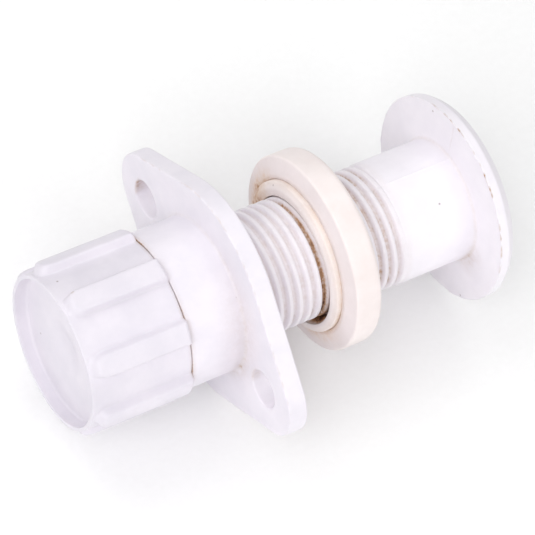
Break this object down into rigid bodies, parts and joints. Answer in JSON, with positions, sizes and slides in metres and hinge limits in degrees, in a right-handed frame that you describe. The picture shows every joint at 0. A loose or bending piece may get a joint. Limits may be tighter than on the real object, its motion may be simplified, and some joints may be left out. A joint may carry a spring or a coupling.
{
  "type": "thru hull fitting",
  "caption": "Double-skin hull drain: mushroom-head threaded barrel, round lock nut with seal ring, oval screw flange and ribbed screw cap.",
  "frame": {"origin": "centre of the mushroom head's hull seat, on the barrel's axis", "axes": "+X outboard along the barrel's axis, from the cap to the head; +Y along the flange's two screw holes; +Z across the flange"},
  "size_m": [0.0782, 0.0554, 0.039],
  "materials": {
    "white_plastic": "glossy moulded plastic",
    "cream_plastic": "satin moulded plastic, yellowed",
    "cream_seal": "satin soft plastic",
    "seal_rubber": "matte rubber"
  },
  "bodies": {
    "hull_fitting": {"hull_fitting": "white_plastic"},
    "nut_seal": {"nut_seal": "cream_seal"},
    "lock_nut": {"lock_nut": "cream_plastic"},
    "barrel_seal": {"barrel_seal": "seal_rubber"},
    "deck_flange": {"deck_flange": "white_plastic"},
    "cap_seal": {"cap_seal": "seal_rubber"},
    "drain_cap": {"drain_cap": "white_plastic"}
  },
  "joints": [
    {"name": "lock_nut_slide", "type": "slide", "parent": "hull_fitting", "child": "nut_seal", "axis": [1, 0, 0], "range_m": [-0.0133, 0.00889]},
    {"name": "lock_nut_turn", "type": "hinge", "parent": "nut_seal", "child": "lock_nut", "pos_m": [0, 0, 0], "axis": [1, 0, 0], "range_deg": [-2640, 1764]},
    {"name": "deck_flange_slide", "type": "slide", "parent": "hull_fitting", "child": "barrel_seal", "axis": [-1, 0, 0], "range_m": [0, 0.00907]},
    {"name": "deck_flange_turn", "type": "hinge", "parent": "barrel_seal", "child": "deck_flange", "pos_m": [0, 0, 0], "axis": [-1, 0, 0], "range_deg": [0, 1800]},
    {"name": "drain_cap_slide", "type": "slide", "parent": "deck_flange", "child": "cap_seal", "axis": [-1, 0, 0], "range_m": [0, 0.0127]},
    {"name": "drain_cap_turn", "type": "hinge", "parent": "cap_seal", "child": "drain_cap", "pos_m": [0, 0, 0], "axis": [-1, 0, 0], "range_deg": [0, 2520]}
  ],
  "couplings": [
    {"joint": "lock_nut_slide", "follows": "lock_nut_turn", "m_per_rad": 0.00028871},
    {"joint": "deck_flange_slide", "follows": "deck_flange_turn", "m_per_rad": 0.00028871},
    {"joint": "drain_cap_slide", "follows": "drain_cap_turn", "m_per_rad": 0.00028871}
  ]
}
